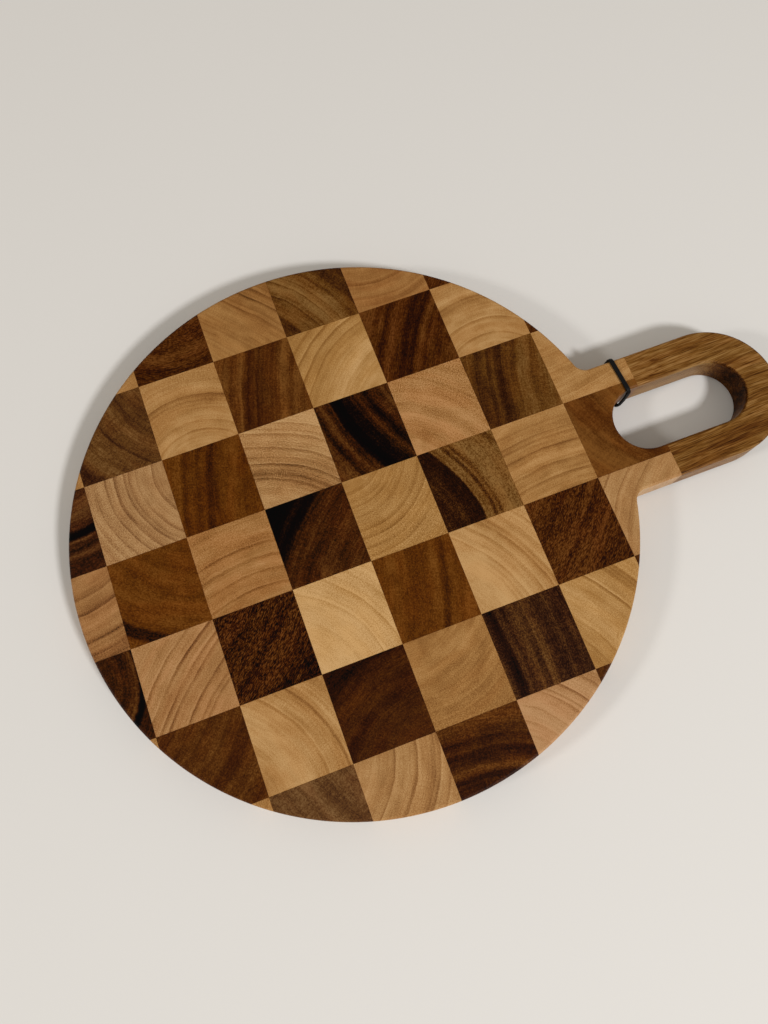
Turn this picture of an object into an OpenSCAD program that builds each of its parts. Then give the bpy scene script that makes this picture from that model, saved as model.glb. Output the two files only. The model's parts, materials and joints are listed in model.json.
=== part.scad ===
// Round checkered cutting board with a loop handle.
// End-grain blocks are glued up in strips, and a long-grain loop is butt-glued to the neck.
// The origin is the middle of the disc's underside. +X points to the handle, +Z is up.

/* [Board] */
// Diameter of the round board
disc_d = 300; // [240:1:380]
// Thickness of the board and of the handle
board_t = 18; // [12:0.5:30]
// Radius of the round-over on every outer edge
arris_r = 1.5; // [0.5:0.1:3]

/* [Checkerboard] */
// Strips in the glued panel that the disc is cut from
strips = 7; // [5:2:7]
// Panel trimmed off at each side of the disc
side_waste = 9.25; // [5:0.25:12]
// Blocks that span the disc along each strip
blocks_across = 7; // [5:1:7]
// Overhang of those blocks at each end of the disc
end_waste = 0.5; // [0:0.25:3]
// Side shift of the middle strip and the handle from the middle of the disc
strip_shift = -2; // [-4:0.5:4]

/* [Handle] */
// Reach of the neck's blocks past the disc, to the handle's glue joint
neck_l = 22; // [16:1:40]
// Width across the handle
handle_w = 74; // [64:1:90]
// Width of the hand hole, which leaves the two arms beside it
hole_w = 36; // [28:1:44]
// Length of the hand hole
hole_l = 77; // [64:1:110]
// Wood between the disc's circle and the near end of the hand hole
hole_gap = 0.5; // [0:0.5:15]
// Radius of the hollow corners where the neck meets the disc
neck_corner_r = 7; // [3:0.5:15]

/* [Elastic tie] */
// Width of the elastic cord, which is pulled flat on the wood
cord_w = 2.6; // [1.6:0.1:4]
// Thickness of the cord
cord_t = 1.3; // [0.8:0.1:1.5]
// Gap between the cord and the wood
cord_gap = 0.15; // [0.1:0.05:0.5]
// How far the tie sits back from the straight sides of the hand hole
tie_back = 4.5; // [0:0.25:6]
// Lean of the tie along the handle, in degrees
tie_lean = 5; // [0:1:8]
// Turn of the tie across its arm, in degrees
tie_turn = 4.5; // [0:0.5:8]

/* [Hidden] */
// Sides of the disc, of the handle's curves and of the small rounds
disc_sides = 480;
curve_sides = 96;
round_sides = 24;
// Overrun of every cut past the faces of the board
cut_over = 1;
disc_r = disc_d / 2;
handle_r = handle_w / 2;
hole_r = hole_w / 2;
arm_w = handle_r - hole_r;
// The hand hole's two round ends turn about these places, and the far one carries the handle's end
hole_near_x = disc_r + hole_gap + hole_r;
hole_far_x = disc_r + hole_gap + hole_l - hole_r;
joint_x = disc_r + neck_l;
// Length of a block along its strip, and width of a strip
block_l = (disc_d + 2 * end_waste) / blocks_across;
block_w = (disc_d + 2 * side_waste) / strips;
// Strips and block lines are counted from the middle of the disc, where a block line lies
top_strip = (strips - 1) / 2;
last_line = ceil(disc_r / block_l) - 1;
first_line = -last_line - 1;
// The tie's centre line, and the span of its arm where the round end of the hole comes in beside it.
// Its sizes are kept to this many steps a millimetre, so that its runs and its bends meet face to face
tie_steps = 1000;
cord_r = cord_t / 2;
cord_flat = (cord_w - cord_t) / 2;
bend_r = in_steps(arris_r + cord_gap + cord_r);
tie_rise = in_steps(tie_reach(board_t, tie_lean));
tie_low_back = tie_back + tie_rise * tan(tie_lean) + cord_w / 2 - arm_w / 2 * tan(tie_turn);
tied_w = arm_w + hole_r - sqrt(hole_r * hole_r - tie_low_back * tie_low_back);
tie_half_across = in_steps(tie_reach(tied_w, tie_turn));
tie_y = strip_shift + handle_r - tied_w / 2;
// Tones of the two kinds of wood
light_tones = ["#dcb78c", "#d3a877", "#e0bf90", "#cf9f74"];
dark_tones = ["#6b4426", "#8a5c33", "#54301c", "#7c4a28", "#6e5434"];
handle_tone = "#a9743c";
tie_tone = "#17151a";

function in_steps(size) = round(size * tie_steps) / tie_steps;

// From the middle of what the tie goes round to its centre line, where it lies at an angle to it
function tie_reach(size, angle) = (size / 2 + cord_gap + cord_r + cord_flat * sin(angle)) / cos(angle);

// A block is [strip, line]: its strip's number from the middle, and the line that it starts at.
// The last ones run on to the handle's joint
function block_x(block) = block[1] * block_l;
function block_end_x(block) = block[1] == last_line ? joint_x : block_x(block) + block_l;
function block_y(block) = strip_shift + (block[0] - 1 / 2) * block_w;
function block_end_y(block) = block_y(block) + block_w;
function clear_of(low, high) = max(low, -high, 0);

// Blocks that the circle leaves less of than its round-over are lost with the waste
function in_disc(block) =
    let (x = clear_of(block_x(block), block_end_x(block)))
    let (y = clear_of(block_y(block), block_end_y(block)))
    norm([x, y]) < disc_r - arris_r;

// Blocks whose strip meets the handle or comes within this reach of its sides
function in_neck(block, reach) =
    let (low = strip_shift - handle_r - reach)
    let (high = strip_shift + handle_r + reach)
    block[1] >= 0 && block_y(block) < high && block_end_y(block) > low;

// Blocks that lie inside the round-over of the disc, where the router doesn't reach
function is_whole(block) =
    let (x = max(abs(block_x(block)), abs(block_end_x(block))))
    let (y = max(abs(block_y(block)), abs(block_end_y(block))))
    norm([x, y]) < disc_r - arris_r;

blocks = [
    for (strip = [top_strip:-1:-top_strip])
        for (line = [first_line:last_line])
            if (in_disc([strip, line]) || in_neck([strip, line], -arris_r)) [strip, line]
];

function is_dark(block) = (block[0] + block[1]) % 2 != 0;
function row_letter(block) = chr(ord("a") + top_strip - block[0]);
function column(block) = block[1] - first_line + 1;
function block_name(block) =
    str(is_dark(block) ? "dark" : "light", "_block_", row_letter(block), column(block));
function block_tone(block) =
    let (tones = is_dark(block) ? dark_tones : light_tones)
    tones[(3 * column(block) + 2 * ord(row_letter(block))) % len(tones)];

// The edge of the board in section: its wall is on the Y axis and its wood reaches along +X
module edge_section(depth) {
    translate([arris_r, 0]) square([depth - arris_r, board_t]);
    translate([0, arris_r]) square([depth, board_t - 2 * arris_r]);
    translate([arris_r, arris_r]) circle(arris_r, $fn = round_sides);
    translate([arris_r, board_t - arris_r]) circle(arris_r, $fn = round_sides);
}

module both_sides() {
    children();
    mirror([1, 0]) children();
}

module round_board(radius, sides) {
    rotate_extrude($fn = sides) translate([radius, 0]) mirror([1, 0]) edge_section(radius);
}

// The space that a hollow edge goes round, in section, flared by the round-over
module hollow_section(radius) {
    difference() {
        translate([0, -cut_over]) square([radius + arris_r, board_t + 2 * cut_over]);
        translate([radius, 0]) edge_section(2 * arris_r);
    }
}

module round_hollow(radius) {
    rotate_extrude($fn = curve_sides) hollow_section(radius);
}

module along_x(length) {
    rotate([90, 0, 90]) linear_extrude(length) children();
}

// The hollow corner on one side of the neck: a web between the disc and the arm, cut by its curve
module neck_corner(side) {
    across = handle_r + side * strip_shift + neck_corner_r;
    along = sqrt(pow(disc_r + neck_corner_r, 2) - pow(across, 2));
    difference() {
        linear_extrude(board_t) polygon([[0, 0], [along, 0], [along, side * across]]);
        translate([along, side * across, 0]) round_hollow(neck_corner_r);
    }
}

module hand_hole() {
    translate([hole_near_x, strip_shift, 0]) {
        round_hollow(hole_r);
        along_x(hole_far_x - hole_near_x) both_sides() hollow_section(hole_r);
    }
    translate([hole_far_x, strip_shift, 0]) round_hollow(hole_r);
}

// The whole board as it is routed after gluing: disc, neck and loop handle with one round-over
module routed_board() {
    difference() {
        union() {
            round_board(disc_r, disc_sides);
            neck_corner(1);
            neck_corner(-1);
            translate([0, strip_shift, 0]) {
                along_x(hole_far_x) both_sides() translate([-handle_r, 0]) edge_section(handle_r);
                translate([hole_far_x, 0, 0]) round_board(handle_r, curve_sides);
            }
        }
        hand_hole();
    }
}

module block_blank(block, over) {
    translate([block_x(block), block_y(block), -over])
        cube([block_end_x(block) - block_x(block), block_w, board_t + 2 * over]);
}

// One end-grain block, which the router leaves whole, rounds off at the rim or shapes at the neck
module end_grain_block(block) {
    color(block_tone(block)) {
        if (is_whole(block)) {
            block_blank(block, 0);
        } else {
            intersection() {
                block_blank(block, cut_over);
                if (in_neck(block, neck_corner_r)) {
                    routed_board();
                } else {
                    round_board(disc_r, disc_sides);
                }
            }
        }
    }
}

// The long-grain loop, from its glue joint to its round end
module handle() {
    color(handle_tone) intersection() {
        routed_board();
        translate([joint_x, strip_shift - handle_w, -cut_over])
            cube([hole_far_x + handle_w - joint_x, 2 * handle_w, board_t + 2 * cut_over]);
    }
}

// The cord in section, with its flat sides up
module cord_section() {
    square([cord_t, 2 * cord_flat], center = true);
    for (side = [-1, 1]) translate([0, side * cord_flat]) circle(cord_r, $fn = round_sides);
}

module cord_run(length) {
    translate([0, 0, -length / 2]) linear_extrude(length) cord_section();
}

module cord_bend() {
    rotate_extrude(angle = 90, $fn = curve_sides) translate([bend_r, 0]) cord_section();
}

// The tie's loop, lying flat: four bends, and a run between each and the next
module tie_loop() {
    bend_x = tie_half_across - bend_r;
    bend_y = tie_rise - bend_r;
    for (x_side = [-1, 1])
        for (y_side = [-1, 1])
            scale([x_side, y_side, 1]) translate([bend_x, bend_y]) cord_bend();
    for (side = [-1, 1]) {
        translate([side * tie_half_across, 0]) rotate([90, 0, 0]) cord_run(2 * bend_y);
        translate([0, side * tie_rise]) rotate([90, 0, 90]) cord_run(2 * bend_x);
    }
}

// One loop of elastic cord, pulled tight and flat round the far arm
module elastic_tie() {
    color(tie_tone)
        translate([hole_near_x - tie_back, tie_y, board_t / 2])
            rotate([0, tie_lean, tie_turn]) rotate([90, 0, 90]) tie_loop();
}

for (block = blocks)
    end_grain_block(block);
handle();
elastic_tie();
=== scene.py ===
"""Looks of the round checkered cutting board: its end-grain blocks, long-grain handle and elastic tie."""

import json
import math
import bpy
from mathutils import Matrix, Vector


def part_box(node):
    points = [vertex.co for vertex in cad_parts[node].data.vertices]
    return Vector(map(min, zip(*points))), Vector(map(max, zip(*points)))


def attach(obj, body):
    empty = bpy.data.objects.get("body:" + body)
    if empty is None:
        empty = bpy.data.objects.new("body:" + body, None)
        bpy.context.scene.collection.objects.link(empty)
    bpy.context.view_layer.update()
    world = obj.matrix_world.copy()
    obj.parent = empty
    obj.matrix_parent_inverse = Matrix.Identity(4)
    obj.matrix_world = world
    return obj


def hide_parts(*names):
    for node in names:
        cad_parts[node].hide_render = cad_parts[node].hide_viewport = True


bl_info = {
    "name": "Checkered Cutting Board",
    "version": (1, 0, 0),
    "blender": (4, 5, 0),
    "location": "3D View > Sidebar > Board",
    "description": "Gives the round end-grain board its woods, its elastic tie and a plain studio",
    "category": "Material",
}

from collections import namedtuple

import bmesh
import bpy
from bpy.props import FloatProperty, FloatVectorProperty, IntProperty, PointerProperty
from mathutils import Color, Matrix, Vector

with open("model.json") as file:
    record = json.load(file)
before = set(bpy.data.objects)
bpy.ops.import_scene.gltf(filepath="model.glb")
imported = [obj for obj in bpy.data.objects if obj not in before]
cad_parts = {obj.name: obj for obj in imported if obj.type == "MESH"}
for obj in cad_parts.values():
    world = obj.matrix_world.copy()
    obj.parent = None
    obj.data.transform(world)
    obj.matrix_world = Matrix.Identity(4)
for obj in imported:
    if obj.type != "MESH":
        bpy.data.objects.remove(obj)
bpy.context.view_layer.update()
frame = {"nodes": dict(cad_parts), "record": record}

BODY = "root"
MM = 0.001
WOOD_OF = {part["node"]: part["material_slot"] for part in frame["record"]["subparts"]}


def tone(name, description, default):
    """A colour property, as the colour is seen."""
    return FloatVectorProperty(
        name=name,
        description=description,
        subtype="COLOR_GAMMA",
        size=3,
        min=0.0,
        max=1.0,
        default=default,
    )


def length(name, description, default):
    """A length property, in metres."""
    return FloatProperty(
        name=name, description=description, unit="LENGTH", precision=4, min=0.0, default=default
    )


def angle(name, description, degrees):
    """An angle property, from degrees."""
    return FloatProperty(
        name=name, description=description, subtype="ANGLE", default=math.radians(degrees)
    )


# Each wood's colours as they are seen: of its deepest grain, of its body and of its brightest grain
WOOD_TONES = {
    "tan": ((0.45, 0.29, 0.13), (0.62, 0.45, 0.25), (0.745, 0.59, 0.39)),
    "pink_tan": ((0.46, 0.29, 0.13), (0.605, 0.43, 0.235), (0.71, 0.535, 0.35)),
    "yellow_tan": ((0.48, 0.32, 0.14), (0.64, 0.475, 0.265), (0.79, 0.635, 0.43)),
    "red_brown": ((0.15, 0.035, 0), (0.275, 0.13, 0), (0.4, 0.235, 0.08)),
    "mid_brown": ((0.17, 0.055, 0), (0.305, 0.16, 0.02), (0.45, 0.285, 0.11)),
    "orange_brown": ((0.22, 0.09, 0), (0.35, 0.185, 0.01), (0.46, 0.28, 0.09)),
    "olive_brown": ((0.14, 0.04, 0), (0.355, 0.215, 0.05), (0.52, 0.38, 0.2)),
    "black_brown": ((0.02, 0, 0), (0.235, 0.1, 0.005), (0.4, 0.25, 0.09)),
    "handle_wood": ((0.27, 0.14, 0.02), (0.445, 0.295, 0.11), (0.58, 0.44, 0.25)),
}
GRAINS = ("deep", "body", "bright")


class BoardWoodSettings(bpy.types.PropertyGroup):
    """Colours of the woods, each from its deepest to its brightest grain"""

    __annotations__ = {
        f"{wood}_{grain}": tone(
            f"{wood} {grain}".replace("_", " ").capitalize(),
            f"Colour of this wood, {grain}, before its speckle, rings and tint",
            shown,
        )
        for wood, tones in WOOD_TONES.items()
        for grain, shown in zip(GRAINS, tones)
    }


class BoardTieSettings(bpy.types.PropertyGroup):
    """Sizes and colour of the elastic tie"""

    width: length("Width", "Width of the cord where it lies on the wood", 0.0026)
    thickness: length("Thickness", "Thickness of the cord", 0.0013)
    reach: length("Reach", "From the middle of the loop to its upper and lower runs", 0.009894)
    span: length("Span", "From the middle of the loop to its inner and outer runs", 0.010957)
    bend: length("Bend", "Radius of the cord's middle round the wood's edges", 0.0023)
    lean: angle("Lean", "Lean of the loop along the handle", 5.0)
    turn: angle("Turn", "Turn of the loop across its arm", 4.5)
    bow: length("Bow", "How far the run in the hand hole bows out along the wall", 0.0012)
    hug: length("Hug", "How far the upper end of that run leans to the wood", 0.00045)
    slack: length("Slack", "How far the foot of the outer run slips back", 0.0008)
    strands: IntProperty(name="Strands", description="Strands in the cord's braid each way", min=2, default=8)
    braid: length("Braid", "Length of cord that a strand takes for one turn", 0.006)
    elastic: tone("Elastic", "Colour of the cord", (0.022, 0.019, 0.025))


class BoardStageSettings(bpy.types.PropertyGroup):
    """The plain studio"""

    floor: tone("Floor", "Colour of the floor and of what lies behind it", (0.86, 0.85, 0.83))
    floor_reach: length("Floor reach", "Half the side of the floor", 6.0)
    light_distance: length("Light distance", "From the board to each lamp", 3.0)
    light_size: length("Light size", "Width of each lamp", 0.42)


# How much each part of a wood's grain changes its tone: the speckle, with the sizes of its lumps in mm
# along, across and down the rings; the pores, with the mm from one to the next; the rays across the
# rings; the stripes along them; the mottling; and the tint that some of its patches have
Wood = namedtuple("Wood", "speckle speckle_sizes pores pore_gap rays stripes mottle blush")
WOODS = {
    "tan": Wood(0.22, (0.55, 0.5, 9), 0.10, 0.8, 0.05, 0.085, 0.12, (1.0, 0.96, 0.92)),
    "pink_tan": Wood(0.26, (0.55, 0.5, 9), 0.12, 0.8, 0.06, 0.10, 0.14, (1.02, 0.96, 0.93)),
    "yellow_tan": Wood(0.20, (0.55, 0.5, 9), 0.09, 0.8, 0.045, 0.065, 0.095, (1.0, 0.97, 0.91)),
    "red_brown": Wood(0.31, (1.5, 0.38, 12), 0.20, 0.9, 0.12, 0.15, 0.17, (1.03, 0.94, 0.98)),
    "mid_brown": Wood(0.22, (0.7, 0.5, 12), 0.13, 0.9, 0.08, 0.12, 0.15, (1.06, 0.96, 0.85)),
    "orange_brown": Wood(0.28, (0.7, 0.5, 12), 0.13, 0.9, 0.08, 0.09, 0.14, (1.05, 0.96, 0.85)),
    "olive_brown": Wood(0.17, (0.7, 0.5, 12), 0.12, 0.9, 0.08, 0.09, 0.10, (1.04, 0.95, 0.85)),
    "black_brown": Wood(0.20, (0.7, 0.5, 12), 0.12, 0.9, 0.08, 0.13, 0.13, (1.10, 0.97, 0.87)),
}

# How one block was sawn: the way from its middle to the tree's heart, in degrees on the board, and how
# far that is in mm; the shade across its rings, as (mm outwards, tone) with 0 deep and 1 bright; the
# ends of its years, as (mm outwards, how dark); the spacing in mm of the faint rings between them and how
# dark they are; single marks, as (x, y, long, wide, turn, tone) in mm and degrees, from its middle; how
# many times as strong its speckle and pores are; and how much paler in colour it is. Tones below 0 go on
# towards black
Sawn = namedtuple(
    "Sawn", "heart away shades lines gap rings marks rough faded", defaults=((), 4.0, 0.1, (), 1.0, 0.0)
)
SAWN = {
    "a2": Sawn(-60, 90, [(0, 0.5)], gap=7, rings=0.25),
    "a3": Sawn(
        81, 46, [(-8, 0.5), (-3, 0.42), (0.5, 0.48), (4.5, 0.8), (8, 0.55), (12.5, 0.3), (17, 0.25)],
        rough=1.4,
    ),
    "a4": Sawn(
        221, 200, [(-22, 0.45), (-9.5, 0.33), (0, 0.38), (6, 0.3), (12, 0.28), (21, 0.2)],
        lines=[(-9.5, 0.07), (7, 0.25), (10.5, 0.1), (15.5, 0.35), (21, 0.28)],
        gap=5, rings=0.06, rough=0.7,
    ),
    "a5": Sawn(
        214, 84,
        [(-23, 0.25), (-21, 0.25), (-18.5, 0.65), (-11, 0.55), (-5, 0.8), (1, 0.77), (6, 0.65), (9, 0.45),
         (11, 0.55), (17, 0.2)],
        lines=[(-10.5, 0.19), (-2.5, 0.18), (2, 0.1), (8.5, 0.18)],
    ),
    "a6": Sawn(
        94, 53, [(-6, 0.37), (0, 0.31), (5, 0.37), (14, 0.33)],
        lines=[(0.5, 0.18), (10, 0.22), (15, 0.12)],
        gap=5, rings=0.06, rough=0.65,
    ),
    "a7": Sawn(-45, 80, [(0, 0.45)], gap=5),
    "b1": Sawn(-30, 80, [(0, 0.5)], gap=6, rings=0.2),
    "b2": Sawn(
        29, 71,
        [(-22, 0.47), (-18.5, 0.41), (-13.5, 0.33), (-8.5, 0.53), (0, 0.47), (14, 0.55), (19, 0.49),
         (23.5, 0.15)],
        lines=[(-14, 0.06), (-3.5, 0.06), (1.5, 0.14), (17, 0.04)],
        faded=0.03,
    ),
    "b3": Sawn(
        268, 42, [(-20, 0.64), (-4, 0.61), (2, 0.51), (9, 0.33), (10.5, 0.55), (13, 0.68), (18, 0.53)],
        lines=[(-12.5, 0.2), (-7, 0.15), (5.5, 0.1), (8.8, 0.18), (17.5, 0.1)],
        marks=[(-5.3, -11.5, 18, 0.7, 97, 0.3), (-11, -22, 1, 0.9, 0, -0.6)],
        gap=3,
    ),
    "b4": Sawn(
        342, 287,
        [(-23, 0.6), (-18, 0.68), (-15.5, 0.5), (-11.5, 0.8), (-6, 0.45), (-2, 0.42), (2.5, 0.18),
         (5, 0.38), (8.5, 0.15), (10, 0.25), (12.5, 0.75), (18, 0.5), (21, 0.68)],
    ),
    "b5": Sawn(
        309, 75, [(-24, 0.61), (-14, 0.6), (-8, 0.7), (-2, 0.53), (4, 0.41), (14, 0.46), (23, 0.34)],
        lines=[(-20, 0.08), (-12, 0.14), (6, 0.15), (11.5, 0.29), (17.5, 0.26), (23, 0.17)],
        gap=3, rings=0.08, rough=0.95,
    ),
    "b6": Sawn(
        329, 172,
        [(-25, 0.6), (-17, 0.37), (-12.5, 0.55), (-11, 0.35), (-7.5, 0.65), (-3.5, 0.03), (-2, 0.13),
         (1, -0.05), (5.5, 0.45), (9.5, 0.65), (14.5, 0.2), (17, 0.6), (18.5, 0.45), (25, 0.75)],
        rings=0.05,
    ),
    "b7": Sawn(
        265, 46,
        [(-20, 0.7), (-10, 0.62), (-3, 0.66), (3, 0.6), (10.5, 0.37), (12, 0.6), (14, 0.79), (20, 0.56)],
        lines=[(-14, 0.28), (-4.5, 0.25), (8, 0.07), (10.5, 0.12)],
        gap=3, rough=0.8,
    ),
    "b8": Sawn(-45, 80, [(0, 0.45)], gap=5),
    "c1": Sawn(
        95, 49,
        [(-20, 0.45), (-10, 0.8), (-6, 0.65), (-2, 0.35), (0.5, -0.35), (2, -0.35), (4.5, 0.65),
         (6.5, 0.33), (8, 0.45), (9, 0.37), (11.5, 0.75), (17, 0.27), (20, 0.35)],
        rings=0.15, faded=0.03,
    ),
    "c2": Sawn(
        17, 53, [(-20, 0.45), (-14, 0.55), (0, 0.45), (22, 0.55)],
        lines=[(-16.5, 0.36), (-8, 0.28), (-4, 0.17), (-1.5, 0.28), (4, 0.41), (9, 0.28), (15, 0.27),
               (19.5, 0.19)],
        gap=2.6, rings=0.12, rough=1.4, faded=0.06,
    ),
    "c3": Sawn(
        345, 172,
        [(-20, 0.4), (-16, 0.36), (-10.5, 0.58), (-5, 0.38), (-1, 0.26), (3, 0), (6, 0.36), (8.5, 0.2),
         (11, 0.4), (15.5, 0.2), (18, 0.55)],
    ),
    "c4": Sawn(
        242, 92,
        [(-24, 0.61), (-17, 0.53), (-11, 0.29), (-8, 0.25), (-5, 0.44), (0, 0.47), (10, 0.63), (24, 0.8)],
        lines=[(-12, 0.17), (-9, 0.28), (-3.5, 0.38), (0.5, 0.17), (5.5, 0.25), (13.5, 0.28),
               (16.2, 0.13), (20, 0.28)],
        gap=2.4, rings=0.12, rough=2.1, faded=0.03,
    ),
    "c5": Sawn(
        20, 112,
        [(-23, 0.65), (-18, 0.45), (-13.5, 0.05), (-9.5, 0.55), (-6.5, 0.2), (-3, -0.05), (-1.5, 0.05),
         (1, -0.25), (4, -0.4), (6, -0.15), (7.5, 0.4), (9, 0.3), (12, 0.65), (17, 0.3), (21, 0.75),
         (23, 0.67)],
        rough=1.3,
    ),
    "c6": Sawn(
        230, 58,
        [(-24, 0.78), (-19.5, 0.42), (-14, 0.55), (-9, 0.82), (-3, 0.48), (2, 0.75), (7, 0.58),
         (22, 0.58)],
        lines=[(-13, 0.1), (13.5, 0.17)],
        gap=3, rough=1.9,
    ),
    "c7": Sawn(
        346, 200,
        [(-22, 0.61), (-14.5, 0.45), (-9, 0.58), (-2, 0.41), (5.5, 0.13), (8.5, 0.34), (11.5, 0.27),
         (13.5, 0.4), (18, 0.2), (21, 0.45)],
    ),
    "c8": Sawn(100, 150, [(-20, 0.55), (20, 0.6)], gap=5, rings=0.3),
    "d1": Sawn(
        101, 57,
        [(-21, 0.5), (-12, 0.31), (-8.5, 0.4), (-3.5, 0.15), (-2, 0.35), (0.5, 0.57), (8, 0.41),
         (12, 0.2), (14, 0.39), (19, 0.13)],
        lines=[(-11, 0.22), (-3, 0.25), (12, 0.25), (15.5, 0.21), (18.5, 0.21)],
        gap=3, faded=0.03,
    ),
    "d2": Sawn(
        54, 66,
        [(-24, 0.5), (-18, 0.6), (-14.5, 0.46), (-8, 0.6), (-1, 0.51), (6.5, 0.64), (14, 0.55),
         (18, 0.45), (20.5, -0.25), (23.5, -0.35), (26, 0.45)],
        marks=[(-2, 13, 23, 0.7, 32, -0.4)],
    ),
    "d3": Sawn(
        274, 91,
        [(-20, 0.45), (-8, 0.45), (-4, 0.67), (-1, 0.39), (3, 0.45), (9, 0.37), (14, 0.51), (21, 0.47)],
        lines=[(-15.5, 0.35), (-7.5, 0.21), (0, 0.39), (7, 0.28)],
        gap=2.6, rings=0.12, rough=1.4,
    ),
    "d4": Sawn(
        317, 141,
        [(-26, 0.55), (-16, 0.5), (-11, 0.7), (-7, 0.5), (-3, 0.32), (0, 0.45), (4.5, 0.5), (9, 0.35),
         (14, -0.2), (17.5, 0.02), (20, -0.35), (26, -0.35)],
    ),
    "d5": Sawn(
        117, 42, [(-20, 0.41), (20, 0.43)],
        lines=[(-19, 0.16), (-14.5, 0.11), (-11.5, 0.14), (-5.5, 0.14), (2, 0.23), (6.5, 0.2),
               (11.5, 0.11), (16, 0.16)],
        gap=3, rough=1.5,
    ),
    "d6": Sawn(
        197, 80,
        [(-25, 0.05), (-14, 0.05), (-9.5, -0.1), (-5, -0.15), (-4, -0.1), (-2.5, 0.65), (-1, 0.55),
         (1, 0.75), (2.5, 0.2), (4.5, 0.7), (6, 0.4), (7.5, 0.75), (11, 0.85), (14, 0.75), (20, 0.75)],
        marks=[(18.3, 19.1, 18, 8, -60, -0.5)],
        rings=0.05, rough=1.6,
    ),
    "d7": Sawn(
        272, 172,
        [(-20, 0.47), (-12, 0.5), (-6.5, 0.43), (-3, 0.67), (0, 0.5), (2.5, 0.35), (5, 0.47), (11, 0.39),
         (19.5, 0.59)],
        lines=[(-14, 0.25), (-7, 0.18), (2.5, 0.22), (8.5, 0.12), (11, 0.12), (17, 0.1)],
        gap=2.6, rings=0.12,
    ),
    "d8": Sawn(30, 90, [(-20, 0.9), (-7, 0.8), (0, 0.45), (7, 0.65), (20, 0.9)], rough=0.7),
    "e1": Sawn(
        157, 34,
        [(-10, 0.35), (-3.5, 0.42), (0, 0.3), (3, 0.42), (6, 0.7), (8.5, -0.35), (9.5, -0.35), (11, 0.3)],
    ),
    "e2": Sawn(
        314, 130, [(-26, 0.65), (-19, 0.51), (0, 0.55), (20, 0.61)],
        lines=[(-19, 0.19), (-16.8, 0.23), (-11.5, 0.45), (-4, 0.45), (-0.5, 0.35), (5.5, 0.42),
               (12.5, 0.42), (17.5, 0.13)],
        gap=2.6, rough=1.15, faded=0.03,
    ),
    "e3": Sawn(
        133, 235,
        [(-25, 0.13), (-20, 0.33), (-15.5, 0.03), (-12, 0.07), (-9, 0.25), (-6, 0.13), (-3.5, 0.39),
         (0.5, 0.05), (4, 0.43), (7.5, 0.25), (10.5, 0.48), (12.5, 0.21), (19, 0.01), (26, -0.17)],
        rough=2.5,
    ),
    "e4": Sawn(
        215, 58, [(-20, 0.86), (0, 0.84), (10, 0.78), (20, 0.76), (23, 0.86)],
        lines=[(-10.5, 0.07), (2, 0.17), (7.5, 0.06), (12, 0.19), (20.5, 0.19)],
        gap=3, rings=0.05, rough=1.3,
    ),
    "e5": Sawn(
        164, 160,
        [(-23, 0.45), (-15, 0.61), (-11.5, 0.45), (-10, 0.53), (-6, 0.31), (-2, 0.35), (6, 0.59),
         (10.5, 0.25), (15, 0.63), (17, 0.49), (23, 0.67)],
    ),
    "e6": Sawn(
        210, 80,
        [(-25, 0.8), (-13.5, 0.91), (-6, 0.82), (0, 0.77), (5, 0.71), (12, 0.6), (16, 0.71), (22, 0.8)],
        lines=[(-9, 0.09), (-3.5, 0.2), (5, 0.18), (10.5, 0.2), (13.5, 0.2), (19, 0.27), (25, 0.25)],
        gap=3, rings=0.08, rough=1.1,
    ),
    "e7": Sawn(
        135, 172,
        [(-24, 0.55), (-21, 0.33), (-19.5, 0.53), (-14, 0.27), (-7.5, 0.51), (-5.5, 0.41), (-1.5, 0.67),
         (2, 0.31), (5, 0.57), (7.5, 0.45), (11.5, 0.75), (13.5, 0.51), (20.5, 0.33)],
        rough=1.8,
    ),
    "e8": Sawn(-40, 80, [(-20, 0.55), (20, 0.55)], gap=8, rings=0.35, rough=0.9, faded=0.04),
    "f1": Sawn(-30, 80, [(0, 0.5)], gap=6, rings=0.2),
    "f2": Sawn(
        130, 100, [(-20, 0.45), (0, 0.45), (8, 0.25), (14, 0.45)],
        marks=[(8, -9, 25, 1.1, -5, -0.5), (14.5, -16.5, 12, 2.5, 20, -0.5), (16, -12.5, 6, 3, 0, 0.25)],
    ),
    "f3": Sawn(
        205, 66,
        [(-23, 0.56), (-13, 0.78), (-9, 0.78), (0, 0.68), (8, 0.65), (13, 0.49), (14.5, 0.43), (16, 0.6),
         (18, 0.7), (24, 0.51)],
        lines=[(-16.5, 0.11), (3.5, 0.22), (6.5, 0.11), (14.5, 0.22), (20.5, 0.11)],
        gap=3, rings=0.08,
    ),
    "f4": Sawn(
        294, 64,
        [(-23, 0.25), (-14.5, 0.3), (-10.5, 0.1), (-6.5, 0.22), (-2, 0.05), (1.5, 0.25), (4, 0.15),
         (10, 0.3), (15.5, 0.08), (20, -0.2), (22, -0.2)],
    ),
    "f5": Sawn(
        108, 53, [(-22, 0.32), (-17, 0.4), (-8, 0.46), (-2.5, 0.36), (8, 0.39), (16, 0.32), (20, 0.38)],
        gap=3, rings=0.06, rough=1.15,
    ),
    "f6": Sawn(
        182, 200,
        [(-21, 0.28), (-17.5, -0.05), (-15.5, -0.22), (-12.5, 0.27), (-10, 0.1), (-5, 0.35), (-2.5, 0.24),
         (0.5, 0.41), (3, 0.39), (6, 0.12), (8.5, 0.08), (11, 0.24), (15.5, 0.05), (18, 0.22),
         (21, 0.13)],
        gap=3, rings=0.2, rough=1.4, faded=0.03,
    ),
    "f7": Sawn(
        209, 112,
        [(-22, 0.43), (-11.5, 0.66), (-7, 0.66), (0, 0.54), (5, 0.54), (11.5, 0.6), (16, 0.42),
         (20, 0.36), (21.5, 0.58)],
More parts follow.
